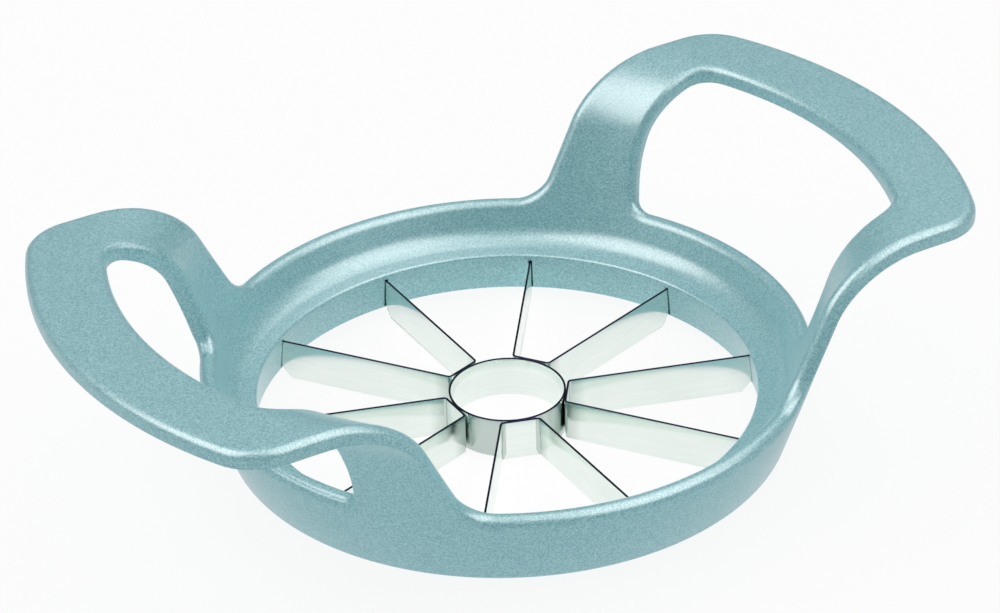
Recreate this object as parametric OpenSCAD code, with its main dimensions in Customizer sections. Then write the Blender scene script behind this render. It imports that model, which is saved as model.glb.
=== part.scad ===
// Fruit slicer: a cast ring with two raised loop handles, a core ring in the
// middle and ten blades bent from five strips. It stands on its cutting edges
// at z = 0, and the handles lie along the X axis.

/* [Cast ring] */
// Outer diameter over the rolled rim
rim_d = 114; // [100:0.5:130]
// Distance from the outside of the rim to the opening at the underside
rim_to_opening = 9.5; // [8.5:0.1:12]
// Height of the cutting wall, from the underside to the inner ledge
foot_h = 7.7; // [6.5:0.1:12]
// Rise of the rim above the inner ledge
rim_rise = 8; // [6:0.1:12]
// Thickness of the ring's wall and of both handles
wall_t = 3.5; // [2.6:0.1:4]
// Outward lean of the wall from vertical
wall_lean = 18.5; // [12:0.5:24]
// Draft of the opening, as the radius lost between the underside and the ledge
opening_draft = 0.8; // [0.2:0.1:1]
// Outward slope of the floor between the ledge and the cove
floor_slope = 13; // [4:1:20]
// Radius of the cove inside the wall
cove_r = 5; // [2:0.5:5.5]
// Rounding of the foot's outer edge
foot_round = 1.3; // [0.4:0.1:2]
// Rounding of the ledge's edge
ledge_round = 0.6; // [0.2:0.1:1]

/* [Handles] */
// Length over both grips
overall_l = 173.5; // [165:0.5:200]
// Height of the grips above the cutting edges
overall_h = 43.8; // [38:0.2:60]
// Width over the legs of a handle
handle_w = 90; // [80:0.2:96]
// Width of a finger opening
finger_w = 64.4; // [50:0.2:70]
// Width of a grip from its outer edge to the finger opening
grip_w = 14.6; // [10:0.2:18]
// Radius of the bend between a leg and its grip, at mid thickness
bend_r = 15; // [10:0.5:18]
// Outer corner of a grip in plan
corner_r = 11; // [6:0.5:16]
// Corner of a finger opening in plan
finger_corner_r = 6.5; // [3:0.5:9]
// Fillet between the rim and the outside of a leg
root_r = 4; // [2:0.5:6]
// Fillet between the rim and a leg inside the finger opening
finger_root_r = 2; // [1:0.5:4]
// Spread of a leg into the finger opening, from the bend down to the rim
leg_spread = 4.5; // [0:0.5:6]
// Rounding of the handles' upper edges
edge_r = 1.65; // [0.6:0.05:1.65]
// Rounding of the handles' lower edges
under_edge_r = 0.4; // [0.2:0.1:0.8]

/* [Blades] */
// Strips, each bent into two blades
strips = 5; // [4:1:6]
// Height of the strips and of the core ring
blade_h = 8; // [6:0.1:10]
// Thickness of the strips and of the core ring
blade_t = 0.4; // [0.3:0.05:0.8]
// Length of the cutting edges below the cast ring's underside
blade_drop = 1.6; // [0.6:0.1:3]
// Depth to which a blade's end is cast into the ring
blade_embed = 2.1; // [1:0.1:3]
// Cast metal left under a blade's end
blade_cover = 0.5; // [0.3:0.1:1]
// Length of the slanted corner where a cutting edge rises to its cast end
edge_runout = 1.7; // [0.8:0.1:3]
// Bend of a strip at its middle line
strip_bend_r = 0.7; // [0.5:0.1:1.5]
// Height of the ground bevel on the cutting edges
bevel_h = 1.2; // [0.4:0.1:2]
// Width left at the cutting edges
edge_land = 0.12; // [0.05:0.01:0.25]

/* [Core ring] */
// Outer diameter of the core ring
core_d = 22; // [16:0.5:28]
// Gap left between the rolled ends of the core ring
core_seam = 0.2; // [0.1:0.05:0.5]

/* [Hidden] */
$fn = 96;
wall_half = wall_t / 2;
// A leg's faces start this far inside the faces of the ring's wall.
leg_inset = 0.06;
leg_half = wall_half - leg_inset;
underside_z = blade_drop;
ledge_z = underside_z + foot_h;
rim_top_z = ledge_z + rim_rise;
opening_r = rim_d / 2 - rim_to_opening;
ledge_r = opening_r - opening_draft;
opening_round = 0.3;
// The rim is fully round, but for a flat of twice this width.
rim_flat = 0.05;
rim_round = wall_half - rim_flat;
rim_arc_steps = 5;
foot_arc_steps = 4;
cove_arc_steps = 7;
ledge_arc_steps = 4;

// The wall's middle line rises from the rim and bends over into the grip.
rim_mid_r = rim_d / 2 - wall_half;
rim_mid_z = rim_top_z - wall_half;
grip_mid_z = overall_h - leg_half;
bend_start_z = grip_mid_z - bend_r * (1 - sin(wall_lean));
bend_start_r = rim_mid_r + (bend_start_z - rim_mid_z) * tan(wall_lean);
bend_end_r = bend_start_r + bend_r * cos(wall_lean);

// The outlines of a handle run along the centres of its rounded edges.
grip_out_r = overall_l / 2 - edge_r;
grip_in_r = overall_l / 2 - grip_w + edge_r;
leg_out_y = handle_w / 2 - edge_r;
leg_in_y = finger_w / 2 + edge_r;
out_corner_r = corner_r - edge_r;
in_corner_r = finger_corner_r + edge_r;
out_root_r = root_r + edge_r;
in_root_r = finger_root_r + edge_r;
out_corner = grip_corner(grip_out_r, leg_out_y, out_corner_r);
in_corner = grip_corner(grip_in_r, leg_in_y, in_corner_r);

// Steps along a handle and round its edges
root_depth = 2;
first_root_turn = 20;
root_steps = 7;
wall_steps = 3;
bend_steps = 6;
straight_steps = 4;
corner_steps = 6;
grip_steps = 8;
across_steps = 6;
edge_steps = 4;
under_steps = 2;
quarter_turn = 90;

blades = 2 * strips;
blade_turn = 360 / blades;
blade_end_r = opening_r + blade_embed;
tang_z = underside_z + blade_cover;
tang_clear = 0.3;
bend_arc_steps = 6;
tang_start_r = ledge_r + opening_draft * (ledge_z - tang_z) / foot_h - tang_clear;
web_r = (core_d + blade_t) / 2;
bend_point_r = web_r / cos(blade_turn / 2);
core_r = core_d / 2;
past = 1;

STRIPS = [for (i = [1:strips]) str("blade_strip_", i)];

function unit(v) = v / norm(v);
function polar(r, a) = [r * cos(a), r * sin(a)];
function angle(p) = atan2(p.y, p.x);
function half_turn(a) = a > 180 ? a - 360 : a < -180 ? a + 360 : a;

// Arc of radius r that rounds the corner b between the points a and c
function corner_arc(a, b, c, r, n) =
    let (u = unit(a - b), w = unit(c - b), half = acos(u * w) / 2)
    let (centre = b + unit(u + w) * r / sin(half))
    let (start = b + u * r / tan(half) - centre, stop = b + w * r / tan(half) - centre)
    let (turn = half_turn(angle(stop) - angle(start)))
    [for (i = [0:n]) centre + polar(r, angle(start) + turn * i / n)];

// Closed outline through corners given as [x, y, radius, steps]
function rounded(corners) =
    let (n = len(corners))
    [for (i = [0:n - 1])
        let (a = corners[(i + n - 1) % n], b = corners[i], c = corners[(i + 1) % n])
        each corner_arc([a.x, a.y], [b.x, b.y], [c.x, c.y], b[2], b[3])];

// Point of the wall's middle line at a height, moved sideways by a distance
function wall_point(z, side) =
    [rim_mid_r + (z - rim_mid_z) * tan(wall_lean) + side / cos(wall_lean), z];

// Point where the floor meets the inner face of the wall
function floor_corner() =
    let (foot = wall_point(ledge_z, -wall_half), slope = tan(floor_slope))
    let (rise = (foot.x - ledge_r) * slope / (1 - slope * tan(wall_lean)))
    wall_point(ledge_z + rise, -wall_half);

// Section of the cast ring, from the underside round the rim to the ledge
function ring_section() =
    let (top = wall_point(rim_mid_z + wall_half * cos(wall_lean), 0))
    let (across = polar(wall_half, -wall_lean), out_foot = wall_point(underside_z, wall_half))
    let (out_top = top + across, in_top = top - across, cove = floor_corner())
    rounded([
        [opening_r, underside_z, opening_round, ledge_arc_steps],
        [out_foot.x, out_foot.y, foot_round, foot_arc_steps],
        [out_top.x, out_top.y, rim_round, rim_arc_steps],
        [in_top.x, in_top.y, rim_round, rim_arc_steps],
        [cove.x, cove.y, cove_r, cove_arc_steps],
        [ledge_r, ledge_z, ledge_round, ledge_arc_steps],
    ]);

// Tilt of a handle's middle surface from vertical, at a distance from the axis
function tilt(r) =
    r <= bend_start_r ? wall_lean
    : r >= bend_end_r ? quarter_turn
    : acos(cos(wall_lean) - (r - bend_start_r) / bend_r);

// Height of the same surface
function mid_z(r) =
    r <= bend_start_r ? rim_mid_z + (r - rim_mid_r) / tan(wall_lean)
    : bend_start_z + bend_r * (sin(tilt(r)) - sin(wall_lean));

// Place [r, a] on the middle surface as a point, and its upward normal
function on_surface(p) = [p[0] * cos(p[1]), p[0] * sin(p[1]), mid_z(p[0])];
function normal(p) =
    let (t = tilt(p[0]))
    [-cos(t) * cos(p[1]), -cos(t) * sin(p[1]), sin(t)];

// Centre of the arc that rounds the corner between a grip's edge and a leg's edge
function grip_corner(r, y, corner) = [sqrt(pow(r - corner, 2) - pow(y - corner, 2)), y - corner];

function place(p) = [norm(p), angle(p)];
function leg_place(y, r) = [r, asin(y / r)];

// Angle of a sideways distance on the wall
function side_angle(side, r) = side / r * 180 / PI;

// Spread of a root fillet at a distance h up the wall from the rim's centre
function fillet_spread(r, h) = h >= r ? 0 : r - sqrt(r * r - pow(r - h, 2));

// Spread of a leg into the finger opening, which fades out up to the bend
function taper_spread(r) = r >= bend_start_r ? 0
    : leg_spread * pow((bend_start_r - r) / (bend_start_r - rim_mid_r), 2);

// Station on a leg: the places of its two edges at a distance from the axis
function leg_station(r) =
    [leg_place(leg_in_y, r) - [0, side_angle(taper_spread(r), r)], leg_place(leg_out_y, r)];

// Station in the root fillets, at a distance up the wall from the rim's centre
function root_station(h, fillet_h) =
    let (r = rim_mid_r + h * sin(wall_lean), in_side = fillet_spread(in_root_r, fillet_h))
    let (out_side = fillet_spread(out_root_r, fillet_h))
    leg_station(r) + [[0, -side_angle(in_side, r)], [0, side_angle(out_side, r)]];

first_h = out_root_r * (1 - cos(first_root_turn));
in_corner_start = [in_corner.x, leg_in_y];
out_corner_start = [out_corner.x, leg_out_y];
leg_end_r = norm(in_corner_start);
leg_end_x = sqrt(leg_end_r * leg_end_r - leg_out_y * leg_out_y);
fillet_end_r = rim_mid_r + out_root_r * sin(wall_lean);
in_corner_a = angle(in_corner);
out_corner_a = angle(out_corner);

root_stations = concat(
    [root_station(-root_depth, first_h)],
    [for (i = [0:root_steps])
        let (a = first_root_turn + (quarter_turn - first_root_turn) * i / root_steps)
        let (h = out_root_r * (1 - cos(a)))
        root_station(h, h)]);

wall_stations = [for (i = [1:wall_steps])
    leg_station(fillet_end_r + (bend_start_r - fillet_end_r) * i / wall_steps)];

bend_stations = [for (i = [1:bend_steps])
    let (t = wall_lean + (tilt(leg_end_r) - wall_lean) * i / bend_steps)
    leg_station(bend_start_r + bend_r * (cos(wall_lean) - cos(t)))];

turn_steps = straight_steps + corner_steps;
corner_stations = [for (i = [1:turn_steps])
    let (in_a = quarter_turn + (in_corner_a - quarter_turn) * i / turn_steps)
    let (straight = min(i / straight_steps, 1), turn = max(i - straight_steps, 0) / corner_steps)
    let (out_a = quarter_turn + (out_corner_a - quarter_turn) * turn)
    let (out_start = [leg_end_x + (out_corner.x - leg_end_x) * straight, leg_out_y])
    [place(in_corner + polar(in_corner_r, in_a)),
     place(turn > 0 ? out_corner + polar(out_corner_r, out_a) : out_start)]];

grip_stations = [for (i = [1:grip_steps])
    [[grip_in_r, in_corner_a * (1 - i / grip_steps)],
     [grip_out_r, out_corner_a * (1 - i / grip_steps)]]];

function mirrored(s) = [for (p = s) [p[0], -p[1]]];
half_handle = concat(root_stations, wall_stations, bend_stations, corner_stations, grip_stations);
half_count = len(half_handle);
stations = concat(half_handle, [for (i = [half_count - 2:-1:0]) mirrored(half_handle[i])]);

// Rounded edge as [outward, upward] steps from the edge's centre line, from top to bottom
edge_profile = concat(
    [for (i = [1:edge_steps])
        polar(edge_r, quarter_turn * (1 - i / edge_steps)) + [0, leg_half - edge_r]],
    [for (i = [0:under_steps])
        polar(under_edge_r, -quarter_turn * i / under_steps)
        + [edge_r - under_edge_r, under_edge_r - leg_half]]);
edge_count = len(edge_profile);

// Loop of points round a handle's section at station i
function edge_points(i, side) =
    let (n = len(stations), here = stations[i][side])
    let (ahead = on_surface(stations[min(i + 1, n - 1)][side]))
    let (behind = on_surface(stations[max(i - 1, 0)][side]))
    let (up = normal(here), outward = (side == 1 ? 1 : -1) * unit(cross(up, ahead - behind)))
    [for (p = edge_profile) on_surface(here) + p.x * outward + p.y * up];

function face_points(i, lift) =
    [for (j = [0:across_steps])
        let (p = stations[i][0] + (stations[i][1] - stations[i][0]) * j / across_steps)
        on_surface(p) + lift * normal(p)];

function reversed(list) = [for (i = [len(list) - 1:-1:0]) list[i]];

function section_loop(i) = concat(
    face_points(i, leg_half),
    edge_points(i, 1),
    reversed(face_points(i, -leg_half)),
    reversed(edge_points(i, 0)));

// Triangles that close a swept end, taken across the section from face to face
function end_faces(first, flip) =
    let (n = across_steps, low = n + edge_count + 1, count = 2 * (n + 1 + edge_count))
    let (across = [for (j = [0:n - 1])
        each [[j, j + 1, low + n - j - 1], [j, low + n - j - 1, low + n - j]]])
    let (out_fan = [for (j = [n:low - 2]) [j, j + 1, low]])
    let (in_fan = [for (j = [low + n:count - 2]) [j, j + 1, 0]])
    [for (f = concat(across, out_fan, in_fan)) flip ? first + reversed(f) : first + f];

// Closed sweep through loops of equal length
function side_faces(loops, count) = [for (i = [0:loops - 2], j = [0:count - 1])
    let (a = i * count + j, b = i * count + (j + 1) % count)
    each [[a, b, b + count], [a, b + count, a + count]]];

module handle() {
    loops = [for (i = [0:len(stations) - 1]) section_loop(i)];
    count = len(loops[0]);
    last = (len(stations) - 1) * count;
    polyhedron(
        points = [for (l = loops) each l],
        faces = concat(
            side_faces(len(loops), count),
            end_faces([0, 0, 0], true),
            end_faces([last, last, last], false)));
}

module ring_casting() {
    rotate_extrude($fn = 144) polygon(ring_section());
}

module blade_slots() {
    for (i = [0:blades - 1]) {
        rotate([0, 0, blade_turn * (i + 0.5)])
            translate([ledge_r - past, -blade_t / 2, tang_z])
                cube([blade_end_r - ledge_r + past, blade_t, blade_h - tang_z]);
    }
}

module cast_frame() {
    color("lightsteelblue") {
        difference() {
            union() {
                ring_casting();
                handle();
                rotate([0, 0, 180]) handle();
            }
            blade_slots();
        }
    }
}

module core_ring() {
    color("gainsboro") {
        difference() {
            rotate_extrude()
                polygon([
                    [core_r - blade_t / 2 - edge_land / 2, 0],
                    [core_r - blade_t / 2 + edge_land / 2, 0],
                    [core_r, bevel_h],
                    [core_r, blade_h],
                    [core_r - blade_t, blade_h],
                    [core_r - blade_t, bevel_h],
                ]);
            translate([-core_r - past, -core_seam / 2, -past])
                cube([2 * past + blade_t, core_seam, blade_h + 2 * past]);
        }
    }
}

// Middle line of a strip in plan, as [point, is a cast end]: blade, web, blade
function strip_path() =
    let (a = blade_turn / 2, near = polar(bend_point_r, a), near_m = [near.x, -near.y])
    let (stops = [[blade_end_r, true], [tang_start_r, true], [tang_start_r - edge_runout, false]])
    let (far = polar(blade_end_r, a), far_m = [far.x, -far.y])
    concat(
        [for (s = stops) [polar(s[0], a), s[1]]],
        [for (p = corner_arc(far, near, near_m, strip_bend_r, bend_arc_steps)) [p, false]],
        [for (p = corner_arc(near, near_m, far_m, strip_bend_r, bend_arc_steps)) [p, false]],
        [for (i = [2:-1:0]) [polar(stops[i][0], -a), stops[i][1]]]);

// Section of a strip as [sideways, z]: ground to its cutting edge, or plain in its cast end
function strip_section(cast_end) =
    let (half = blade_t / 2, tip = cast_end ? half : edge_land / 2)
    let (low = cast_end ? tang_z : 0)
    let (face_low = low + bevel_h)
    [[half, blade_h], [-half, blade_h], [-half, face_low], [-tip, low], [tip, low], [half, face_low]];

module bent_strip() {
    path = strip_path();
    last = len(path) - 1;
    sides = 6;
    points = [for (i = [0:last])
        let (ahead = path[min(i + 1, last)][0], behind = path[max(i - 1, 0)][0])
        let (here = path[i][0], dir = unit(ahead - behind), side = [dir.y, -dir.x])
        for (p = strip_section(path[i][1]))
            [here.x + side.x * p.x, here.y + side.y * p.x, p.y]];
    end_quads = [[0, 1, 2, 5], [2, 3, 4, 5]];
    ends = [for (q = end_quads) each [reversed(q), [for (j = q) last * sides + j]]];
    polyhedron(points = points, faces = concat(side_faces(last + 1, sides), ends));
}

module blade_strip(i) {
    color("whitesmoke") rotate([0, 0, blade_turn * (2 * i - 1)]) bent_strip();
}

cast_frame();
core_ring();
for (i = [1:strips]) {
    blade_strip(i);
}
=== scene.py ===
"""Dressed model of a fruit slicer: a cast ring with two loop handles, ten blades and a core ring.

Sizes are in millimetres in the classes' fields, and become metres where a mesh is laid. The
handles lie along X, and the slicer stands on its cutting edges at z = 0.
"""

import logging
from dataclasses import dataclass, field
from enum import Enum
from itertools import pairwise
from math import acos, asin, atan2, cos, hypot, pi, radians, sin, sqrt, tan
from typing import Callable, NamedTuple

import bmesh
import bpy
from mathutils import Matrix, Quaternion, Vector


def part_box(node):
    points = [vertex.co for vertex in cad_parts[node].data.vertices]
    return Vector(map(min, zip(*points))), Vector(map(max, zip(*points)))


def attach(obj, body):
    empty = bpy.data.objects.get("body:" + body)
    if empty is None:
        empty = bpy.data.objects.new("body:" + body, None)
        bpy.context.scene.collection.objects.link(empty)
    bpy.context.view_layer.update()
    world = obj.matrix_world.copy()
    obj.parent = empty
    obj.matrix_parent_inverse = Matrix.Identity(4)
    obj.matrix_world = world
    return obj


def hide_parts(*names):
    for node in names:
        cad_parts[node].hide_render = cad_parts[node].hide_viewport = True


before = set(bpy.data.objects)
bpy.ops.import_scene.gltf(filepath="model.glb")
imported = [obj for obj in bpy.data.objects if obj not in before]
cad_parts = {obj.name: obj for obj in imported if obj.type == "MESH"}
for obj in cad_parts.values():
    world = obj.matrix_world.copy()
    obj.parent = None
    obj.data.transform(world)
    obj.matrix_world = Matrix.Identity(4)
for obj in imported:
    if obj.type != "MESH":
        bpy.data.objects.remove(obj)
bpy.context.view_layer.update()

MM = 0.001
WELD = 0.002 * MM
QUARTER = pi / 2
BODY = "root"
MASK_MIDDLE = 0.5
NOISE_TO_CELLS = 1.7
DRIFT_DETAIL = 3.0
DRIFT_LOW, DRIFT_HIGH = 0.3, 0.7
Colour = tuple[float, float, float, float]
log = logging.getLogger("fruit_slicer")


class Slot(Enum):
    """Material slots of the record."""

    CASTING = "cast_metal"
    STEEL = "blade_steel"


class Side(Enum):
    """The two faces of the wall and of the grips, as the sign of a lift from the middle."""

    TOP = 1
    UNDER = -1


class MixKind(Enum):
    """What a Mix node mixes, with the places of its share, its two inputs and its result."""

    FLOAT = (0, 2, 3, 0)
    RGBA = (0, 6, 7, 2)


class Place(NamedTuple):
    """A place on the wall's middle surface: distance from the axis, and turn about it."""

    r: float
    turn: float


class Station(NamedTuple):
    """A section of a handle: its place at the finger opening and at the outline."""

    inner: Place
    outer: Place


def polar(r: float, turn: float) -> Vector:
    """Returns the plan point at a distance and a turn."""
    return Vector((r * cos(turn), r * sin(turn)))


def eased(share: float) -> float:
    """Returns a share from 0 to 1 with a soft start and end."""
    share = min(max(share, 0.0), 1.0)
    return share * share * (3 - 2 * share)


def corner_arc(a: Vector, b: Vector, c: Vector, r: float, steps: int) -> list[Vector]:
    """Rounds the corner between two straight lines.

    Args:
        a: A point of the line that comes in.
        b: The corner.
        c: A point of the line that leaves.
        r: Radius of the arc.
        steps: Number of chords.

    Returns:
        The points of the arc, from the first line to the second.
    """
    u, w = (a - b).normalized(), (c - b).normalized()
    half = acos(u.dot(w)) / 2
    centre = b + (u + w).normalized() * r / sin(half)
    start, stop = b + u * r / tan(half) - centre, b + w * r / tan(half) - centre
    first = atan2(start.y, start.x)
    turn = atan2(stop.y, stop.x) - first
    turn -= 2 * pi * round(turn / (2 * pi))
    return [centre + polar(r, first + turn * i / steps) for i in range(steps + 1)]


def deselect_all() -> None:
    """Leaves object mode with nothing selected."""
    if bpy.context.object and bpy.context.object.mode != "OBJECT":
        bpy.ops.object.mode_set(mode="OBJECT")
    bpy.ops.object.select_all(action="DESELECT")


def activate(*objects: bpy.types.Object) -> None:
    """Selects these objects alone.

    Args:
        objects: The objects, of which the first becomes active.
    """
    deselect_all()
    for piece in objects:
        piece.select_set(True)
    bpy.context.view_layer.objects.active = objects[0]


def edit(piece: bpy.types.Object, whole: bool = True) -> None:
    """Opens a piece in edit mode.

    Args:
        piece: The piece.
        whole: Whether all of it is selected, or nothing.
    """
    activate(piece)
    bpy.ops.object.mode_set(mode="EDIT")
    bpy.ops.mesh.select_mode(type="VERT")
    bpy.ops.mesh.select_all(action="SELECT" if whole else "DESELECT")


def select_where(piece: bpy.types.Object, test: Callable[[Vector], bool]) -> None:
    """Selects corners of a piece by their place.

    Args:
        piece: The piece, open in edit mode.
        test: Tells whether a corner is selected, from its place in millimetres.
    """
    bpy.ops.mesh.select_all(action="DESELECT")
    mesh = bmesh.from_edit_mesh(piece.data)
    for vertex in mesh.verts:
        vertex.select = test(vertex.co / MM)
    mesh.select_flush(True)
    bmesh.update_edit_mesh(piece.data)


def lay_grid(name: str, rows: list[list[Vector]]) -> bpy.types.Object:
    """Adds a grid and lays each of its corners at its place.

    Args:
        name: Name of the new object.
        rows: Rows of places in millimetres, all of one length.

    Returns:
        The laid grid.
    """
    deselect_all()
    bpy.ops.mesh.primitive_grid_add(x_subdivisions=len(rows[0]) - 1, y_subdivisions=len(rows) - 1)
    grid = bpy.context.active_object
    grid.name = name
    for vertex, place in zip(grid.data.vertices, [p for row in rows for p in row], strict=True):
        vertex.co = place * MM
    return grid


def draw_line(name: str, points: list[Vector]) -> bpy.types.Object:
    """Draws an open line by extruding one corner along its points.

    Args:
        name: Name of the new object.
        points: Places of the line in millimetres.

    Returns:
        An object of edges alone.
    """
    deselect_all()
    bpy.ops.mesh.primitive_plane_add(location=points[0] * MM)
    line = bpy.context.active_object
    line.name = name
    bpy.ops.object.transform_apply(location=True)
    edit(line)
    bpy.ops.mesh.merge(type="CENTER")
    for here, there in pairwise(points):
        step = {"value": (there - here) * MM}
        bpy.ops.mesh.extrude_vertices_move(TRANSFORM_OT_translate=step)
    bpy.ops.object.mode_set(mode="OBJECT")
    return line


def spin(line: bpy.types.Object, sectors: list[tuple[float, int]]) -> None:
    """Spins a line about the Z axis, sector after sector.

    The operator counts its angle clockwise, so the turns here are given to it with a minus.

    Args:
        line: An object of edges, which becomes a surface.
        sectors: The anticlockwise angle of each sector and its number of steps.
    """
    edit(line)
    for angle, steps in sectors:
        bpy.ops.mesh.spin(steps=steps, angle=-angle, center=(0, 0, 0), axis=(0, 0, 1))
    bpy.ops.object.mode_set(mode="OBJECT")


def weld(name: str, *parts: bpy.types.Object) -> bpy.types.Object:
    """Joins parts into one closed piece, with its faces turned outwards.

    Args:
        name: Name of the piece.
        parts: Surfaces that meet at their edges.

    Returns:
        The piece.
    """
    activate(*parts)
    if len(parts) > 1:
        bpy.ops.object.join()
    piece = bpy.context.active_object
    piece.name = piece.data.name = name
    edit(piece)
    bpy.ops.mesh.remove_doubles(threshold=WELD)
    bpy.ops.mesh.normals_make_consistent(inside=False)
    bpy.ops.object.mode_set(mode="OBJECT")
    return piece


def finish_with(piece: bpy.types.Object, kind: str, **settings: object) -> None:
    """Adds a modifier to a piece and applies it.

    Args:
        piece: The piece.
        kind: The modifier's type.
        settings: Properties of the modifier.
    """
    activate(piece)
    modifier = piece.modifiers.new(kind.title(), kind)
    for setting, value in settings.items():
        setattr(modifier, setting, value)
    bpy.ops.object.modifier_apply(modifier=modifier.name)


def shade(piece: bpy.types.Object, sharp_over: float) -> None:
    """Shades a piece smooth, apart from edges sharper than an angle in degrees."""
    activate(piece)
    bpy.ops.object.shade_smooth_by_angle(angle=radians(sharp_over))


@dataclass(frozen=True)
class LeaningWall:
    """Middle surface of the wall and of the grips: a cone that bends over into a flat."""

    rim_r: float
    rim_z: float
    lean: float
    bend_r: float
    grip_z: float

    @property
    def bend_start_z(self) -> float:
        """Height at which the bend starts."""
        return self.grip_z - self.bend_r * (1 - sin(self.lean))

    @property
    def bend_start_r(self) -> float:
        """Distance from the axis at which the bend starts."""
        return self.rim_r + (self.bend_start_z - self.rim_z) * tan(self.lean)

    @property
    def bend_end_r(self) -> float:
        """Distance from the axis at which the bend ends in the flat."""
        return self.bend_start_r + self.bend_r * cos(self.lean)

    def tilt(self, r: float) -> float:
        """Measures the surface's lean from vertical.

        Args:
            r: Distance from the axis.

        Returns:
            The lean, which is the cone's up to the bend and a quarter turn on the grips.
        """
        if r <= self.bend_start_r:
            return self.lean
        if r >= self.bend_end_r:
            return QUARTER
        return acos(cos(self.lean) - (r - self.bend_start_r) / self.bend_r)

    def height(self, r: float) -> float:
        """Returns the surface's height at a distance from the axis."""
        if r <= self.bend_start_r:
            return self.rim_z + (r - self.rim_r) / tan(self.lean)
        return self.bend_start_z + self.bend_r * (sin(self.tilt(r)) - sin(self.lean))

    def normal(self, place: Place) -> Vector:
        """Returns the direction from the middle surface to its top face."""
        t = self.tilt(place.r)
        return Vector((-cos(t) * cos(place.turn), -cos(t) * sin(place.turn), sin(t)))

    def at(self, place: Place, lift: float = 0.0) -> Vector:
        """Returns a place's point in space, lifted from the middle surface."""
        point = Vector((*polar(place.r, place.turn), self.height(place.r)))
        return point + lift * self.normal(place)


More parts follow.
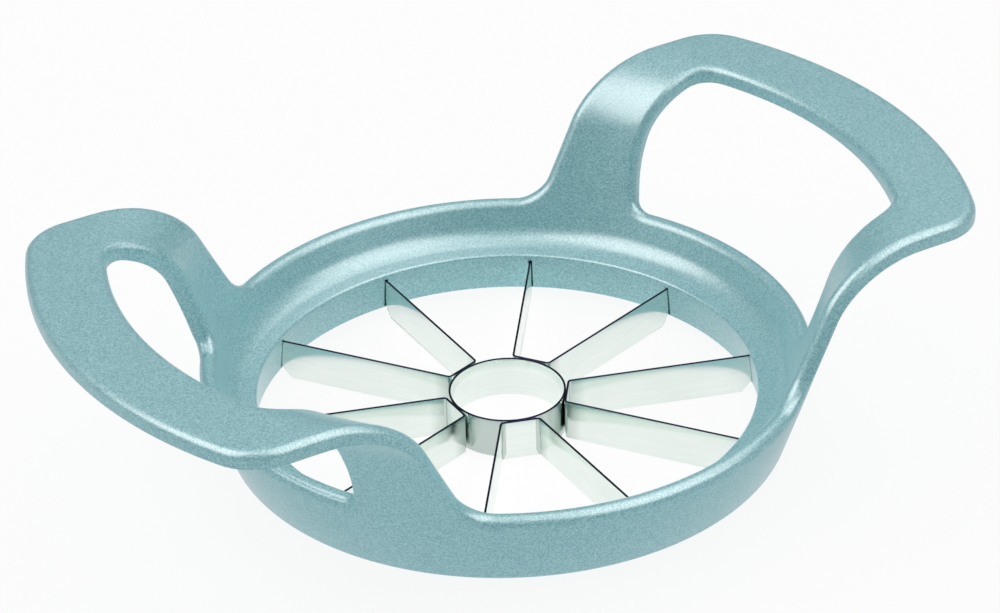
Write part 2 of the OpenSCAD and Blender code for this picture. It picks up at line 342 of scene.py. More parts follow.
@dataclass
class CastFrame:
    """The casting: a ring with a cutting wall, a cove and a round rim, and two loop handles.

    The handles' outlines run along the centres of their rounded edges, as the rim's does.
    """

    rim_d: float = 114.0
    rim_to_opening: float = 9.5
    foot_h: float = 7.7
    rim_rise: float = 8.0
    wall_t: float = 3.5
    wall_lean: float = radians(18.5)
    opening_draft: float = 0.8
    floor_slope: float = radians(13.0)
    cove_r: float = 5.0
    foot_round: float = 1.3
    ledge_round: float = 0.6
    opening_round: float = 0.3
    overall_l: float = 173.5
    overall_h: float = 43.8
    handle_w: float = 90.0
    finger_w: float = 64.4
    grip_w: float = 14.6
    bend_r: float = 15.0
    corner_r: float = 11.0
    finger_corner_r: float = 6.5
    root_r: float = 4.0
    finger_root_r: float = 2.0
    leg_spread: float = 4.5
    leg_inset: float = 0.06
    edge_r: float = 1.65
    under_edge_r: float = 0.4
    underside_z: float = 1.6
    slot_gap: float = 0.2
    across_steps: int = 12
    root_steps: int = 10
    wall_steps: int = 6
    bend_steps: int = 12
    straight_steps: int = 5
    corner_steps: int = 12
    grip_steps: int = 16
    finger_arc_steps: int = 28
    side_arc_steps: int = 30
    round_steps: int = 7
    sharp_over: float = 40.0
    wall: LeaningWall = field(init=False)

    def __post_init__(self) -> None:
        """Works out the middle surface from the driving sizes."""
        self.wall = LeaningWall(
            rim_r=self.rim_d / 2 - self.half_t,
            rim_z=self.ledge_z + self.rim_rise - self.half_t,
            lean=self.wall_lean,
            bend_r=self.bend_r,
            grip_z=self.overall_h - self.half_t + self.leg_inset,
        )

    @property
    def half_t(self) -> float:
        """Half the wall's thickness."""
        return self.wall_t / 2

    @property
    def ledge_z(self) -> float:
        """Height of the ledge inside the ring."""
        return self.underside_z + self.foot_h

    @property
    def opening_r(self) -> float:
        """Radius of the opening at the underside."""
        return self.rim_d / 2 - self.rim_to_opening

    @property
    def ledge_r(self) -> float:
        """Radius of the opening at the ledge."""
        return self.opening_r - self.opening_draft

    @property
    def leg_in_y(self) -> float:
        """Sideways place of a leg's edge in the finger opening."""
        return self.finger_w / 2 + self.edge_r

    @property
    def leg_out_y(self) -> float:
        """Sideways place of a leg's outer edge."""
        return self.handle_w / 2 - self.edge_r

    @property
    def out_root_r(self) -> float:
        """Radius of the outer root fillet along the edges' centres."""
        return self.root_r + self.edge_r

    @property
    def in_root_r(self) -> float:
        """Radius of the root fillet in the finger opening along the edges' centres."""
        return self.finger_root_r + self.edge_r

    def leg_station(self, r: float, in_spread: float = 0.0, out_spread: float = 0.0) -> Station:
        """Cuts a leg at a distance from the axis.

        Args:
            r: Distance from the axis.
            in_spread: Length that a fillet adds in the finger opening.
            out_spread: Length that a fillet adds outside the leg.

        Returns:
            The leg's two edges there.
        """
        wall = self.wall
        left = max(wall.bend_start_r - r, 0.0) / (wall.bend_start_r - wall.rim_r)
        inside = asin(self.leg_in_y / r) - (self.leg_spread * left**2 + in_spread) / r
        outside = asin(self.leg_out_y / r) + out_spread / r
        return Station(Place(r, inside), Place(r, outside))

    def root_stations(self) -> list[Station]:
        """Sections from the rim up through the root fillets."""

        def spread(r: float, h: float) -> float:
            """Returns how far a fillet of radius r still spreads at a height along the wall."""
            return r - sqrt(r * r - (r - h) ** 2) if h < r else 0.0

        stations = []
        for i in range(self.root_steps + 1):
            h = self.out_root_r * (1 - cos(QUARTER * i / self.root_steps))
            r = self.wall.rim_r + h * sin(self.wall_lean)
            inside, outside = spread(self.in_root_r, h), spread(self.out_root_r, h)
            stations.append(self.leg_station(r, inside, outside))
        return stations

    def grip_corner(self, edge_r: float, y: float, r: float) -> Vector:
        """Returns the plan centre of the arc between a grip's edge and a leg's edge."""
        return Vector((sqrt((edge_r - r) ** 2 - (y - r) ** 2), y - r))

    def corner_stations(self) -> list[Station]:
        """Sections round the plan corners, from the bend to the grip, and along half the grip."""
        in_r, out_r = self.finger_corner_r + self.edge_r, self.corner_r - self.edge_r
        grip_in = self.overall_l / 2 - self.grip_w + self.edge_r
        grip_out = self.overall_l / 2 - self.edge_r
        in_c = self.grip_corner(grip_in, self.leg_in_y, in_r)
        out_c = self.grip_corner(grip_out, self.leg_out_y, out_r)
        in_end, out_end = atan2(in_c.y, in_c.x), atan2(out_c.y, out_c.x)
        start_r = hypot(in_c.x, self.leg_in_y)
        start_x = sqrt(start_r**2 - self.leg_out_y**2)
        fillet_r = self.wall.rim_r + self.out_root_r * sin(self.wall_lean)
        bend_r, steps = self.wall.bend_start_r, self.straight_steps + self.corner_steps

        def place(point: Vector) -> Place:
            """Returns the place above a plan point."""
            return Place(point.length, atan2(point.y, point.x))

        stations = []
        for i in range(1, self.wall_steps + 1):
            stations.append(self.leg_station(fillet_r + (bend_r - fillet_r) * i / self.wall_steps))
        for i in range(1, self.bend_steps + 1):
            t = self.wall_lean + (self.wall.tilt(start_r) - self.wall_lean) * i / self.bend_steps
            stations.append(self.leg_station(bend_r + self.bend_r * (cos(self.wall_lean) - cos(t))))
        for i in range(1, steps + 1):
            inner = in_c + polar(in_r, QUARTER + (in_end - QUARTER) * i / steps)
            if i <= self.straight_steps:
                along = start_x + (out_c.x - start_x) * i / self.straight_steps
                outer = Vector((along, self.leg_out_y))
            else:
                turned = (i - self.straight_steps) / self.corner_steps
                outer = out_c + polar(out_r, QUARTER + (out_end - QUARTER) * turned)
            stations.append(Station(place(inner), place(outer)))
        for i in range(1, self.grip_steps + 1):
            left = 1 - i / self.grip_steps
            stations.append(Station(Place(grip_in, in_end * left), Place(grip_out, out_end * left)))
        return stations

    def handle_stations(self, turn: float) -> list[Station]:
        """Sections of a whole handle, from one root over the grip to the other.

        Args:
            turn: Direction of the handle from the axis.

        Returns:
            The stations, with the turn falling all along.
        """
        half = self.root_stations() + self.corner_stations()

        def turned(place: Place, side: int) -> Place:
            """Returns a place on the handle's one side or the other."""
            return Place(place.r, turn + side * place.turn)

        there = [Station(turned(s.inner, 1), turned(s.outer, 1)) for s in half]
        back = [Station(turned(s.inner, -1), turned(s.outer, -1)) for s in half[-2::-1]]
        return there + back

    def handle_share(self, r: float) -> float:
        """Returns 0 at the rim and 1 past the root fillets, where a leg's section takes over."""
        return eased((r - self.wall.rim_r) / (self.out_root_r * sin(self.wall_lean)))

    def lift(self, r: float) -> float:
        """Returns the half thickness at a distance from the axis."""
        return self.half_t - self.leg_inset * self.handle_share(r)

    def face(self, stations: list[Station], side: Side) -> bpy.types.Object:
        """Lays the top or the under face of a handle.

        Args:
            stations: The handle's sections.
            side: Which of the two faces it is.

        Returns:
            The face, open all round.
        """
        rows = []
        for station in stations:
            row = []
            for j in range(self.across_steps + 1):
                share = j / self.across_steps
                r = station.inner.r + (station.outer.r - station.inner.r) * share
                turn = station.inner.turn + (station.outer.turn - station.inner.turn) * share
                row.append(self.wall.at(Place(r, turn), side.value * self.lift(r)))
            rows.append(row)
        return lay_grid("handle_face", rows)

    def edge_section(self, r: float) -> list[Vector]:
        """Section of the rounded edge at a distance from the axis.

        Args:
            r: Distance from the axis, which tells the rim from a handle.

        Returns:
            Points as outward and upward steps from the outline, from the top to the under face.
        """
        share, half = self.handle_share(r), self.lift(r)
        top_r = self.half_t + (self.edge_r - self.half_t) * share
        under_r = self.half_t + (self.under_edge_r - self.half_t) * share
        turns = [QUARTER * i / self.round_steps for i in range(self.round_steps + 1)]
        top = [polar(top_r, QUARTER - t) + Vector((0, half - top_r)) for t in turns]
        under = [polar(under_r, -t) + Vector((top_r - under_r, under_r - half)) for t in turns]
        return [*top, *under, Vector((0, -half))]

    def edge(self, outline: list[Place], outward: int) -> bpy.types.Object:
        """Lays the rounded edge along a closed outline.

        Args:
            outline: Places along the outline, the last next to the first.
            outward: 1 where the metal lies on the outline's right, -1 on its left.

        Returns:
            The edge as a surface from the top face to the under face.
        """
        rows, n = [], len(outline)
        for i in range(n + 1):
            here = outline[i % n]
            along = self.wall.at(outline[(i + 1) % n]) - self.wall.at(outline[(i - 1) % n])
            up = self.wall.normal(here)
            out = outward * up.cross(along).normalized()
            middle, section = self.wall.at(here), self.edge_section(here.r)
            rows.append([middle + p.x * out + p.y * up for p in section])
        return lay_grid("edge", rows)

    def rim_arc(self, start: float, stop: float, steps: int) -> list[Place]:
        """Places along the rim between two turns, without the ends."""
        return [Place(self.wall.rim_r, start + (stop - start) * i / steps) for i in range(1, steps)]

    def ring_section(self) -> list[Vector]:
        """Section of the ring, from the top of the inner wall round the foot to the outer wall."""
        slope, lean = tan(self.floor_slope), tan(self.wall_lean)

        def wall_at(z: float, side: float) -> Vector:
            """Returns a point of the wall's section at a height, aside from its middle."""
            middle_r = self.wall.rim_r + (z - self.wall.rim_z) * lean
            return Vector((middle_r + side / cos(self.wall_lean), z))

        inner_foot = wall_at(self.ledge_z, -self.half_t)
        rise = (inner_foot.x - self.ledge_r) * slope / (1 - slope * lean)
        normal = Vector((-cos(self.wall_lean), sin(self.wall_lean)))
        middle = Vector((self.wall.rim_r, self.wall.rim_z))
        corners = [
            middle + normal * self.half_t,
            wall_at(self.ledge_z + rise, -self.half_t),
            Vector((self.ledge_r, self.ledge_z)),
            Vector((self.opening_r, self.underside_z)),
            wall_at(self.underside_z, self.half_t),
            middle - normal * self.half_t,
        ]
        rounds = [self.cove_r, self.ledge_round, self.opening_round, self.foot_round]
        section = [corners[0]]
        for i, r in enumerate(rounds, start=1):
            section += corner_arc(corners[i - 1], corners[i], corners[i + 1], r, self.round_steps)
        return [*section, corners[-1]]

    def ring(self, inner: float, outer: float) -> bpy.types.Object:
        """Spins the ring, with a column at each place where a handle starts.

        Args:
            inner: Turn at which the fillet in the finger opening leaves the rim.
            outer: Turn at which the outer fillet leaves the rim.

        Returns:
            The ring, open along the top of its wall.
        """
        start = [Vector((*polar(p.x, inner), p.y)) for p in self.ring_section()]
        line = draw_line("ring", start)
        root = (outer - inner, self.across_steps)
        side = (pi - 2 * outer, self.side_arc_steps)
        finger = (2 * inner, self.finger_arc_steps)
        spin(line, [root, side, root, finger] * 2)
        return line

    def cut_slots(self, piece: bpy.types.Object, blades: "BladeSet") -> None:
        """Cuts the pockets in which the blades' ends sit.

        Args:
            piece: The casting, closed.
            blades: The blades that are cast into it.
        """
        reach = blades.end_r + self.slot_gap - self.ledge_r + blades.past
        width = blades.blade_t + 2 * self.slot_gap
        height = blades.blade_h - blades.tang_z + 2 * self.slot_gap
        middle = (blades.end_r + self.slot_gap - reach / 2, 0, (blades.blade_h + blades.tang_z) / 2)
        cutters = []
        for turn in blades.turns():
            deselect_all()
            place = Matrix.Rotation(turn, 3, "Z") @ Vector(middle)
            bpy.ops.mesh.primitive_cube_add(
                size=MM, location=place * MM, rotation=(0, 0, turn), scale=(reach, width, height))
            cutters.append(bpy.context.active_object)
        cutter = weld("slot_cutter", *cutters)
        finish_with(piece, "BOOLEAN", operation="DIFFERENCE", solver="EXACT", object=cutter)
        bpy.data.objects.remove(cutter)

    def build(self, blades: "BladeSet") -> bpy.types.Object:
        """Builds the casting in one piece.

        Args:
            blades: The blades that are cast into the ring.

        Returns:
            The finished mesh, in place of the node cast_frame.
        """
        right, left = self.handle_stations(0.0), self.handle_stations(-pi)
        inner, outer = right[0].inner.turn, right[0].outer.turn
        parts = [self.ring(inner, outer)]
        for stations in (right, left):
            parts += [self.face(stations, side) for side in Side]
            finger = [s.inner for s in stations]
            arc = self.rim_arc(finger[-1].turn, finger[0].turn, self.finger_arc_steps)
            parts.append(self.edge(finger + arc, -1))
        front = self.rim_arc(-outer, outer - pi, self.side_arc_steps)
        back = self.rim_arc(-pi - outer, outer - 2 * pi, self.side_arc_steps)
        outline = [s.outer for s in right] + front + [s.outer for s in left] + back
        parts.append(self.edge(outline, 1))
        piece = weld("cast_frame_body", *parts)
        self.cut_slots(piece, blades)
        shade(piece, self.sharp_over)
        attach(piece, BODY)
        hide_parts("cast_frame")
        return piece


@dataclass
class BladeSet:
    """Five strips, each bent into two blades and the web between them, and the core ring."""

    ledge_r: float
    opening_r: float
    underside_z: float
    ledge_z: float
    blade_h: float = 8.0
    core_d: float = 22.0
    strips: int = 5
    blade_t: float = 0.4
    blade_embed: float = 2.1
    blade_cover: float = 0.5
    edge_runout: float = 1.7
    strip_bend_r: float = 0.7
    bevel_h: float = 1.2
    edge_land: float = 0.12
    tang_clear: float = 0.3
    core_seam: float = 0.2
    corner_round: float = 0.05
    corner_over: float = radians(60)
    corner_steps: int = 2
    past: float = 1.0
    bend_steps: int = 8
    core_steps: int = 120
    sharp_over: float = 50.0
    touch: float = 0.01

    @property
    def half_turn(self) -> float:
        """Turn from the middle of a strip to one of its blades."""
        return pi / (2 * self.strips)

    @property
    def web_r(self) -> float:
        """Distance of a web's middle from the axis."""
        return (self.core_d + self.blade_t) / 2

    @property
    def bend_point_r(self) -> float:
        """Distance from the axis at which a blade's line meets its web's."""
        return self.web_r / cos(self.half_turn)

    @property
    def end_r(self) -> float:
        """Distance of the blades' cast ends from the axis."""
        return self.opening_r + self.blade_embed

    @property
    def tang_z(self) -> float:
        """Height of the lower edge of a blade's cast end."""
        return self.underside_z + self.blade_cover

    @property
    def tang_start_r(self) -> float:
        """Distance from the axis at which a blade's full end starts, just inside the opening."""
        sunk = (self.ledge_z - self.tang_z) / (self.ledge_z - self.underside_z)
        return self.ledge_r + (self.opening_r - self.ledge_r) * sunk - self.tang_clear

    @property
    def levels(self) -> tuple[float, float, float]:
        """Heights of the cutting edge, the top of its ground bevel and the upper edge."""
        return 0.0, self.bevel_h, self.blade_h

    def turns(self) -> list[float]:
        """Returns the direction of each blade."""
        return [self.half_turn * (2 * i + 1) for i in range(2 * self.strips)]

    def extrude(self, step: Vector) -> None:
        """Extrudes the selected edges by a step in millimetres."""
        bpy.ops.mesh.extrude_edges_move(TRANSFORM_OT_translate={"value": step * MM})

    def pull_blade(self, strip: bpy.types.Object, side: int) -> None:
        """Pulls one blade out of a web's end, with its slanted corner and its cast end.

        Args:
            strip: The web, open in edit mode.
            side: 1 for the blade towards +Y, -1 for the other.
        """
        out = Vector((cos(self.half_turn), side * sin(self.half_turn), 0))
        web_y = self.web_r * tan(self.half_turn)
        slant_r = self.tang_start_r - self.edge_runout
        select_where(strip, lambda p: abs(p.y - side * web_y) < self.touch)
        self.extrude(out * (slant_r - self.bend_point_r))
        self.extrude(out * self.edge_runout)

        def at_end(p: Vector) -> bool:
            """Tells whether a corner lies at the blade's outer end."""
            return p.y * side > 0 and p.x > (self.tang_start_r - self.touch) * cos(self.half_turn)

        select_where(strip, lambda p: at_end(p) and p.z < self.bevel_h + self.touch)
        bpy.ops.transform.translate(value=(0, 0, self.tang_z * MM))
        select_where(strip, at_end)
        self.extrude(out * (self.end_r - self.tang_start_r))
        select_where(strip, lambda p: hypot(p.x - self.web_r, p.y - side * web_y) < self.touch)
        setback = self.strip_bend_r * tan((QUARTER - self.half_turn) / 2)
        bpy.ops.mesh.bevel(offset=setback * MM, segments=self.bend_steps, affect="EDGES")

    def thicken(self, sheet: bpy.types.Object) -> None:
        """Gives a bent sheet its thickness, ground down to the land along its cutting edge.

        Args:
            sheet: A strip or the core ring as a surface, with its lowest corners at z = 0.
        """
        activate(sheet)
        group = sheet.vertex_groups.new(name="full_thickness")
        kept = [v.index for v in sheet.data.vertices if v.co.z > self.touch * MM]
        group.add(kept, 1.0, "REPLACE")
        finish_with(
            sheet, "SOLIDIFY", thickness=self.blade_t * MM, offset=0, use_even_offset=True,
            vertex_group=group.name, thickness_vertex_group=self.edge_land / self.blade_t)
        finish_with(
            sheet, "BEVEL", width=self.corner_round * MM, segments=self.corner_steps,
            limit_method="ANGLE", angle_limit=self.corner_over)
        shade(sheet, self.sharp_over)

    def dress(self, piece: bpy.types.Object, node: str) -> None:
        """Puts a steel piece in its node's place.

        Args:
            piece: A strip or the core ring.
            node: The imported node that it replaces.
        """
        piece.name = piece.data.name = f"{node}_steel"
        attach(piece, BODY)
        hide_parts(node)

    def build_strips(self) -> list[bpy.types.Object]:
        """Bends one strip and copies it round the core ring.

        Returns:
            One piece for each node blade_strip_1, blade_strip_2 and so on.
        """
        web_y = self.web_r * tan(self.half_turn)
        rows = [[Vector((self.web_r, y, z)) for y in (-web_y, web_y)] for z in self.levels]
        first = lay_grid("blade_strip", rows)
        edit(first)
        for side in (1, -1):
            self.pull_blade(first, side)
        bpy.ops.object.mode_set(mode="OBJECT")
        self.thicken(first)
        pieces = [first]
        for _ in range(self.strips - 1):
            copy = first.copy()
            copy.data = first.data.copy()
            bpy.context.scene.collection.objects.link(copy)
            pieces.append(copy)
        for i, piece in enumerate(pieces):
            turn = 2 * self.half_turn * (2 * i + 1)
            piece.data.transform(Matrix.Rotation(turn, 4, "Z"))
            self.dress(piece, f"blade_strip_{i + 1}")
        return pieces

    def build_core(self) -> bpy.types.Object:
        """Rolls the core ring from strip, open at its seam."""
        r = (self.core_d - self.blade_t) / 2
        seam = self.core_seam / r
        start = polar(r, pi + seam / 2)
        line = draw_line("core_ring", [Vector((*start, z)) for z in self.levels])
        spin(line, [(2 * pi - seam, self.core_steps)])
        self.thicken(line)
        self.dress(line, "core_ring")
        return line


class NodeBoard:
    """A node tree on which nodes are placed and wired by name."""

    def __init__(self, tree: bpy.types.NodeTree) -> None:
        """Takes the tree and clears it."""
        self.tree = tree
        tree.nodes.clear()

    def add(
        self, kind: str, settings: dict[str, object] | None = None, **inputs: object
    ) -> bpy.types.Node:
        """Places a node.

        Args:
            kind: The node's type, without the prefix ShaderNode.
            settings: Properties of the node.
            inputs: A value or a socket for each input, with spaces in its name as underscores.

        Returns:
            The new node.
        """
        prefix = "" if kind.startswith("Node") else "ShaderNode"
        node = self.tree.nodes.new(prefix + kind)
        for name, value in (settings or {}).items():
            setattr(node, name, value)
        for name, value in inputs.items():
            self.feed(node, name.replace("_", " "), value)
        return node

    def feed(self, node: bpy.types.Node, name: str | int, value: object) -> None:
        """Sets one input of a node to a value, or links a socket to it.

        Args:
            node: The node.
            name: The input's name, or its place among the inputs.
            value: A value or a socket.
        """
        socket = node.inputs[name]
        if isinstance(value, bpy.types.NodeSocket):
            self.tree.links.new(value, socket)
        else:
            socket.default_value = value

    def math(self, operation: str, a: object, b: object = 0.0) -> bpy.types.NodeSocket:
        """Places a Math node.

        Args:
            operation: What the node works out.
            a: Its first input, a value or a socket.
            b: Its second input.

        Returns:
            The node's result.
        """
        node = self.add("Math", {"operation": operation})
        self.feed(node, 0, a)
        self.feed(node, 1, b)
        return node.outputs[0]

    def length(self, vector: bpy.types.NodeSocket) -> bpy.types.NodeSocket:
        """Measures a vector and returns its length."""
        node = self.add("VectorMath", {"operation": "LENGTH"})
        self.feed(node, 0, vector)
        return node.outputs["Value"]

    def combine(self, kind: MixKind, share: object, a: object, b: object) -> bpy.types.NodeSocket:
        """Places a Mix node.

        Args:
            kind: What it mixes.
            share: How much of the second input it takes, a value or a socket.
            a: Its first input.
            b: Its second input.

        Returns:
            The node's result.
        """
        node = self.add("Mix", {"data_type": kind.name})
        *places, result = kind.value
        for index, value in zip(places, (share, a, b), strict=True):
            self.feed(node, index, value)
        return node.outputs[result]

    def blend(self, share: object, a: object, b: object) -> bpy.types.NodeSocket:
        """Mixes two values by a share and returns the result."""
        return self.combine(MixKind.FLOAT, share, a, b)

    def mix(self, share: object, a: object, b: object) -> bpy.types.NodeSocket:
        """Mixes two colours by a share and returns the result."""
        return self.combine(MixKind.RGBA, share, a, b)


def grain_group() -> bpy.types.NodeTree:
    """Builds the grain that the lacquer's flakes and the steel's grinding marks share.

    Returns:
        A group with the inputs Vector, Scale and Contrast and the outputs Mask and Height.
    """
    tree = bpy.data.node_groups.new("surface_grain", "ShaderNodeTree")
    for name, kind in (("Vector", "Vector"), ("Scale", "Float"), ("Contrast", "Float")):
        tree.interface.new_socket(name, in_out="INPUT", socket_type=f"NodeSocket{kind}")
    for name in ("Mask", "Height"):
        tree.interface.new_socket(name, in_out="OUTPUT", socket_type="NodeSocketFloat")
    board = NodeBoard(tree)
    given = board.add("NodeGroupInput").outputs
    cells = board.add("TexVoronoi", Vector=given["Vector"], Scale=given["Scale"])
    fine = board.math("MULTIPLY", given["Scale"], NOISE_TO_CELLS)
    noise = board.add("TexNoise", Vector=given["Vector"], Scale=fine, Detail=0.0)
    cell = board.add("SeparateColor", Color=cells.outputs["Color"]).outputs["Red"]
    halves = [board.math("MULTIPLY", pattern, 0.5) for pattern in (cell, noise.outputs["Fac"])]
    both = board.math("ADD", *halves)
    swing = board.math("MULTIPLY", board.math("SUBTRACT", both, MASK_MIDDLE), given["Contrast"])
    mask = board.add("Clamp", Value=board.math("ADD", swing, MASK_MIDDLE)).outputs[0]
    board.add("NodeGroupOutput", Mask=mask, Height=both)
    return tree


def drift_group() -> bpy.types.NodeTree:
    """Builds the slow change of tone that every finish shows.

    Returns:
        A group with the inputs Vector and Scale and the output Mask.
    """
    tree = bpy.data.node_groups.new("tone_drift", "ShaderNodeTree")
    tree.interface.new_socket("Vector", in_out="INPUT", socket_type="NodeSocketVector")
    tree.interface.new_socket("Scale", in_out="INPUT", socket_type="NodeSocketFloat")
    tree.interface.new_socket("Mask", in_out="OUTPUT", socket_type="NodeSocketFloat")
    board = NodeBoard(tree)
    given = board.add("NodeGroupInput").outputs
    noise = board.add(
        "TexNoise", Vector=given["Vector"], Scale=given["Scale"], Detail=DRIFT_DETAIL)
    spread = board.add(
        "MapRange", Value=noise.outputs["Fac"], From_Min=DRIFT_LOW, From_Max=DRIFT_HIGH)
    board.add("NodeGroupOutput", Mask=spread.outputs[0])
    return tree


@dataclass(frozen=True)
class Effects:
    """The node groups that the finishes share."""

    grain: bpy.types.NodeTree
    drift: bpy.types.NodeTree


@dataclass(frozen=True)
class Lacquer:
    """Silver blue lacquer with fine flakes under a clear coat, which gives the sheen."""

    name: str = "silver_blue_lacquer"
    light: Colour = (0.335, 0.645, 0.68, 1)
    dark: Colour = (0.128, 0.405, 0.465, 1)
    thin: Colour = (0.235, 0.515, 0.555, 1)
    flake_scale: float = 4600.0
    flake_contrast: float = 2.6
    drift_scale: float = 18.0
    drift_share: float = 0.15
    metallic: float = 0.0
    roughness: float = 0.34
    flake_roughness: float = 0.14
    reflectance: float = 0.6
    coat: float = 1.0
    coat_ior: float = 1.6
    coat_roughness: float = 0.28
    bump_strength: float = 0.8
    bump_depth: float = 0.03 * MM

    def make(self, effects: Effects) -> bpy.types.Material:
        """Makes the material.

        Args:
            effects: The shared node groups.

        Returns:
            The lacquer.
        """
        material = bpy.data.materials.new(self.name)
        material.use_nodes = True
        board = NodeBoard(material.node_tree)
        where = board.add("TexCoord").outputs["Object"]
        flakes = board.add(
            "Group", {"node_tree": effects.grain}, Vector=where, Scale=self.flake_scale,
            Contrast=self.flake_contrast).outputs
        drift = board.add(
            "Group", {"node_tree": effects.drift}, Vector=where, Scale=self.drift_scale)
        tone = board.mix(flakes["Mask"], self.dark, self.light)
        share = board.math("MULTIPLY", drift.outputs["Mask"], self.drift_share)
        rough = board.math("MULTIPLY", flakes["Mask"], self.flake_roughness)
        bump = board.add(
            "Bump", Strength=self.bump_strength, Distance=self.bump_depth, Height=flakes["Height"])
        shader = board.add(
            "BsdfPrincipled", Base_Color=board.mix(share, tone, self.thin), Metallic=self.metallic,
            Roughness=board.math("ADD", rough, self.roughness), Normal=bump.outputs["Normal"],
            Specular_IOR_Level=self.reflectance, Coat_Weight=self.coat,
            Coat_Roughness=self.coat_roughness, Coat_IOR=self.coat_ior)
        board.add("OutputMaterial", Surface=shader.outputs[0])
        return material


@dataclass(frozen=True)
class GroundSteel:
    """Stainless strip with fine lengthwise marks and a painted dark reflection on its upper edge.

    Painted shade darkens it on the core ring's outer face, and past a web from the bend on.
    """

    upper_edge: float
    name: str = "ground_strip_steel"
    light: Colour = (0.97, 1.0, 0.98, 1)
    dark: Colour = (0.76, 0.85, 0.80, 1)
    # Painted reflection: colour of the dark band along the upper edge.
    painted_edge_reflection: Colour = (0.015, 0.018, 0.045, 1)
    # Painted shade: colour, shares and reaches of the darker steel near the core ring and the
    # bends.
    painted_shade: Colour = (0.46, 0.54, 0.51, 1)
    core_share: float = 0.8
    bend_share: float = 0.75
    bend_from: float = 11.75 * MM
    core_inside: float = 10.8 * MM
    core_outside: float = 11.15 * MM
    painted_shade_to: float = 15.0 * MM
    metallic: float = 1.0
    along: float = 0.02
    mark_scale: float = 6000.0
    mark_contrast: float = 0.5
    drift_scale: float = 90.0
    drift_share: float = 0.4
    roughness: float = 0.11
    mark_roughness: float = 0.08
    bump_strength: float = 0.06
    bump_depth: float = 0.005 * MM
    edge_depth: float = 0.14 * MM

    def make(self, effects: Effects) -> bpy.types.Material:
        """Makes the material, with marks that run out from the axis and round the core ring.

        Args:
            effects: The shared node groups.

        Returns:
            The steel.
        """
        material = bpy.data.materials.new(self.name)
        material.use_nodes = True
        board = NodeBoard(material.node_tree)
        where = board.add("TexCoord").outputs["Object"]
        axes = board.add("SeparateXYZ", Vector=where).outputs
        plan = board.add("CombineXYZ", X=axes["X"], Y=axes["Y"])
        reach = board.length(plan.outputs[0])
        out = board.math("MULTIPLY", reach, self.along)
        drawn = board.add("CombineXYZ", X=out, Z=axes["Z"]).outputs[0]
        marks = board.add(
            "Group", {"node_tree": effects.grain}, Vector=drawn, Scale=self.mark_scale,
            Contrast=self.mark_contrast).outputs
        drift = board.add(
            "Group", {"node_tree": effects.drift}, Vector=where, Scale=self.drift_scale)
        share = board.math("MULTIPLY", drift.outputs["Mask"], self.drift_share)
        tone = board.mix(share, board.mix(marks["Mask"], self.dark, self.light), self.dark)
        # Painted shade: darker steel on the core ring's outer face and past each bend, fading
        # outwards.
        faded = board.add(
            "MapRange", Value=reach, From_Min=self.bend_from, From_Max=self.painted_shade_to,
            To_Min=self.bend_share, To_Max=0.0)
        past_web = board.math("GREATER_THAN", reach, self.bend_from)
        bent = board.math("MULTIPLY", faded.outputs[0], past_web)
        on_core = board.math("LESS_THAN", reach, self.core_outside)
        painted_shade = board.math("MAXIMUM", bent, board.math("MULTIPLY", on_core, self.core_share))
        past_inside = board.math("GREATER_THAN", reach, self.core_inside)
        tone = board.mix(board.math("MULTIPLY", painted_shade, past_inside), tone, self.painted_shade)
        # Painted reflection: a dark band along the upper edge.
        upper = board.math("GREATER_THAN", axes["Z"], self.upper_edge - self.edge_depth)
        bump = board.add(
            "Bump", Strength=self.bump_strength, Distance=self.bump_depth, Height=marks["Height"])
        rough = board.math("MULTIPLY", marks["Mask"], self.mark_roughness)
        shader = board.add(
            "BsdfPrincipled", Base_Color=board.mix(upper, tone, self.painted_edge_reflection),
            Metallic=self.metallic, Roughness=board.math("ADD", rough, self.roughness),
            Normal=bump.outputs["Normal"])
        board.add("OutputMaterial", Surface=shader.outputs[0])
        return material


@dataclass(frozen=True)
class Card:
    """A bright square card that the polished surfaces mirror, and that faces the slicer.

    The radiance is in units of white, so that its size doesn't change how bright it looks.
    """

    name: str
    azimuth: float
    elevation: float
    size: float
    radiance: float
    distance: float = 1.0
    colour: tuple[float, float, float] = (1.0, 0.92, 0.90)

    def place(self) -> None:
        """Adds the card as a lamp that leaves the even light as it is."""
        deselect_all()
        a, e = radians(self.azimuth), radians(self.elevation)
        back = Vector((sin(a) * cos(e), -cos(a) * cos(e), sin(e)))
        bpy.ops.object.light_add(type="AREA", location=back * self.distance)
        lamp = bpy.context.active_object
        lamp.name = self.name
        lamp.data.size = self.size
        lamp.data.energy = self.radiance * pi * self.size**2
        lamp.data.color = self.colour
        lamp.rotation_euler = back.to_track_quat("Z", "Y").to_euler()
        lamp.visible_diffuse = False


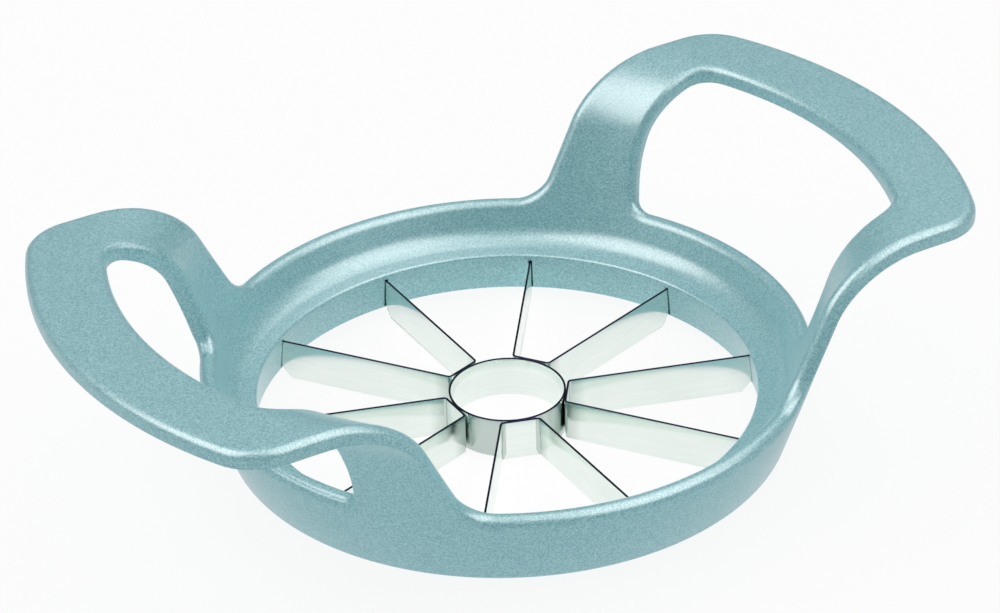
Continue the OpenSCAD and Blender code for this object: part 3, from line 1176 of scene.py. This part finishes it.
@dataclass
class Studio:
    """Floor, light and camera."""

    camera_place: Vector = field(default_factory=lambda: Vector((-290.37, -512.07, 383.74)))
    camera_forward: Vector = field(default_factory=lambda: Vector((0.42041, 0.74404, -0.51929)))
    camera_roll: float = radians(-1.70)
    lens: float = 134.36
    sensor: float = 36.0
    floor_size: float = 8.0
    floor_colour: Colour = (0.95, 0.95, 0.95, 1)
    glow: float = 0.8
    seen_glow: float = 0.88
    mirrored_inside: float = 1.0
    mirrored_outside: float = 0.6
    inside_r: float = 45 * MM
    outside_r: float = 60 * MM
    white: Colour = (1, 1, 1, 1)
    front_light: float = 0.2
    back_light: float = 1.5
    low_backdrop: float = 0.05
    high_backdrop: float = 0.55
    low_z: float = sin(radians(5))
    high_z: float = sin(radians(48))
    cards: tuple[Card, ...] = (
        Card("right_card", azimuth=32, elevation=47, size=0.9, radiance=5.2),
        Card("left_card", azimuth=-98, elevation=46, size=0.95, radiance=5.8),
        Card("back_card", azimuth=104, elevation=62, size=0.6, radiance=3.4),
        Card("top_card", azimuth=0, elevation=88, size=0.75, radiance=2.2),
    )

    def mirror_share(self, board: NodeBoard) -> bpy.types.NodeSocket:
        """Returns 1 for rays that mirror the surroundings or pass through a clear piece."""
        rays = board.add("LightPath").outputs
        return board.math("MAXIMUM", rays["Is Glossy Ray"], rays["Is Transmission Ray"])

    def camera_share(self, board: NodeBoard) -> bpy.types.NodeSocket:
        """Returns 1 for rays that the camera sees directly."""
        return board.add("LightPath").outputs["Is Camera Ray"]

    def build_floor(self) -> None:
        """Lays a pale floor that stays white and keeps the slicer's soft shadow.

        The steel mirrors it at full strength inside the ring and weaker outside.
        """
        deselect_all()
        bpy.ops.mesh.primitive_plane_add(size=self.floor_size)
        floor = bpy.context.active_object
        floor.name = "floor"
        material = bpy.data.materials.new("pale_floor")
        material.use_nodes = True
        board = NodeBoard(material.node_tree)
        matt = board.add("BsdfDiffuse", Color=self.floor_colour)
        reach = board.length(board.add("TexCoord").outputs["Object"])
        mirrored = board.add(
            "MapRange", Value=reach, From_Min=self.inside_r, From_Max=self.outside_r,
            To_Min=self.mirrored_inside, To_Max=self.mirrored_outside)
        strength = board.blend(self.mirror_share(board), 1.0, mirrored.outputs[0])
        white = board.add("Emission", Color=self.white, Strength=strength)
        share = board.blend(self.camera_share(board), self.glow, self.seen_glow)
        mixed = board.add("MixShader", Fac=share)
        board.feed(mixed, 1, matt.outputs[0])
        board.feed(mixed, 2, white.outputs[0])
        board.add("OutputMaterial", Surface=mixed.outputs[0])
        floor.data.materials.append(material)

    def build_world(self) -> None:
        """Sets a soft light from all around, and white where the background shows.

        The light is weaker from the camera's side. Polished surfaces mirror a backdrop that is
        pale overhead and darker near the horizon.
        """
        world = bpy.data.worlds.new("studio")
        bpy.context.scene.world = world
        world.use_nodes = True
        board = NodeBoard(world.node_tree)
        direction = board.add("TexCoord").outputs["Generated"]
        height = board.add("SeparateXYZ", Vector=direction).outputs["Z"]
        backdrop = board.add(
            "MapRange", {"interpolation_type": "SMOOTHSTEP"}, Value=height, From_Min=self.low_z,
            From_Max=self.high_z, To_Min=self.low_backdrop, To_Max=self.high_backdrop)
        away = board.add("VectorMath", {"operation": "DOT_PRODUCT"})
        board.feed(away, 0, direction)
        board.feed(away, 1, self.camera_forward * Vector((1, 1, 0)))
        light = board.add(
            "MapRange", Value=away.outputs["Value"], From_Min=-1.0, From_Max=1.0,
            To_Min=self.front_light, To_Max=self.back_light)
        lit = board.blend(self.mirror_share(board), light.outputs[0], backdrop.outputs[0])
        strength = board.blend(self.camera_share(board), lit, 1.0)
        sky = board.add("Background", Color=self.white, Strength=strength)
        board.add("OutputWorld", Surface=sky.outputs[0])

    def build_camera(self) -> None:
        """Sets the camera at the photograph's angle."""
        deselect_all()
        bpy.ops.object.camera_add(location=self.camera_place * MM)
        camera = bpy.context.active_object
        camera.rotation_mode = "QUATERNION"
        aim = self.camera_forward.to_track_quat("-Z", "Y")
        camera.rotation_quaternion = aim @ Quaternion((0, 0, 1), self.camera_roll)
        camera.data.sensor_width = self.sensor
        camera.data.lens = self.lens
        bpy.context.scene.camera = camera

    def build(self) -> None:
        """Builds the floor, the light and the camera."""
        self.build_camera()
        self.build_floor()
        self.build_world()
        for card in self.cards:
            card.place()
        bpy.context.scene.view_settings.view_transform = "Standard"


def casting_from_frame() -> CastFrame:
    """Reads the casting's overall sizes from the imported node."""
    low, high = (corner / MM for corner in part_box("cast_frame"))
    return CastFrame(overall_l=2 * high.x, overall_h=high.z, rim_d=2 * high.y, underside_z=low.z)


def blades_from_frame(casting: CastFrame) -> BladeSet:
    """Reads the blades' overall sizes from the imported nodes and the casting."""
    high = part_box("core_ring")[1] / MM
    return BladeSet(
        ledge_r=casting.ledge_r, opening_r=casting.opening_r, underside_z=casting.underside_z,
        ledge_z=casting.ledge_z, blade_h=high.z, core_d=2 * high.y)


def put_on(material: bpy.types.Material, *pieces: bpy.types.Object) -> None:
    """Gives pieces one material."""
    for piece in pieces:
        piece.data.materials.clear()
        piece.data.materials.append(material)


def main() -> None:
    """Builds the slicer, its finishes and the studio, and reports each piece."""
    logging.basicConfig(level=logging.INFO, format="%(message)s")
    Studio().build()
    effects = Effects(grain=grain_group(), drift=drift_group())
    casting = casting_from_frame()
    blades = blades_from_frame(casting)
    body = casting.build(blades)
    steel_pieces = [*blades.build_strips(), blades.build_core()]
    put_on(Lacquer().make(effects), body)
    put_on(GroundSteel(upper_edge=blades.blade_h * MM).make(effects), *steel_pieces)
    for piece in (body, *steel_pieces):
        log.info("%s: %d faces", piece.name, len(piece.data.polygons))


if __name__ == "__main__":
    main()
